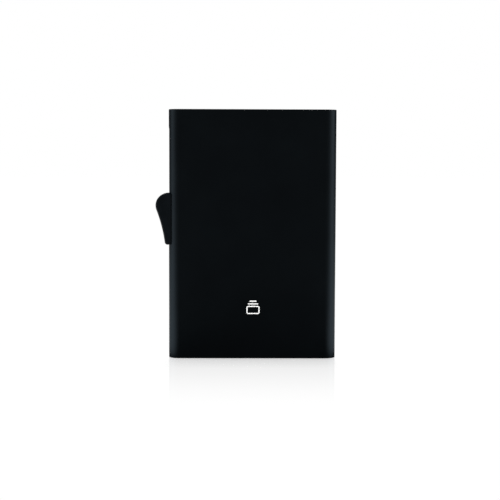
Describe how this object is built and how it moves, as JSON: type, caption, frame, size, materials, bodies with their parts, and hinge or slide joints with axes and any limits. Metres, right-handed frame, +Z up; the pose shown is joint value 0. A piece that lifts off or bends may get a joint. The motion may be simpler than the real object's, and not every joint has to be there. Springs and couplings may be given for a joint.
{
  "type": "minimalist card wallet",
  "caption": "Slim aluminium card case with full-round sides and a thumb lever in a side slot that lifts the cards out of the open top as a staircase.",
  "frame": {"origin": "centre of the flat base, which is the underside of the tube and of the bottom cap", "axes": "+Z up, the way the cards come out; +X to the side away from the lever; -Y to the front face"},
  "size_m": [0.0678, 0.0084, 0.0936],
  "materials": {
    "anodised_aluminium": "black anodised after bead blasting, satin",
    "cassette_abs": "moulded, fine texture",
    "cap_abs": "moulded, fine texture",
    "lever_abs": "moulded, fine matte texture",
    "carriage_pom": "moulded acetal, smooth",
    "arm_pom": "moulded acetal, smooth",
    "spring_steel": "rolled stainless strip",
    "pin_steel": "ground",
    "screw_steel": "black oxide",
    "felt": "pressed wool felt",
    "tape": "adhesive tissue"
  },
  "bodies": {
    "case": {"housing": "anodised_aluminium", "frame_front": "cassette_abs", "frame_back": "cassette_abs", "bottom_cap": "cap_abs", "cap_screws": "screw_steel", "frame_tape_front": "tape", "frame_tape_back": "tape", "card_spring_left": "spring_steel", "card_spring_right": "spring_steel", "card_felt_left": "felt", "card_felt_right": "felt"},
    "slider": {"slider_carriage": "carriage_pom", "thumb_lever": "lever_abs", "brake_spring": "spring_steel", "drive_pin": "pin_steel"},
    "arm": {"fan_arm": "arm_pom", "guide_pin": "pin_steel"}
  },
  "joints": [
    {"name": "lever_slide", "type": "slide", "parent": "case", "child": "slider", "axis": [0, 0, 1], "range_m": [0, 0.025]},
    {"name": "arm_tilt", "type": "hinge", "parent": "slider", "child": "arm", "pos_m": [-0.028, 0, 0.0042], "axis": [0, 1, 0], "range_deg": [0, 28.5]}
  ],
  "couplings": [
    {"joint": "arm_tilt", "follows": "lever_slide", "rad_per_m": 19.84}
  ]
}
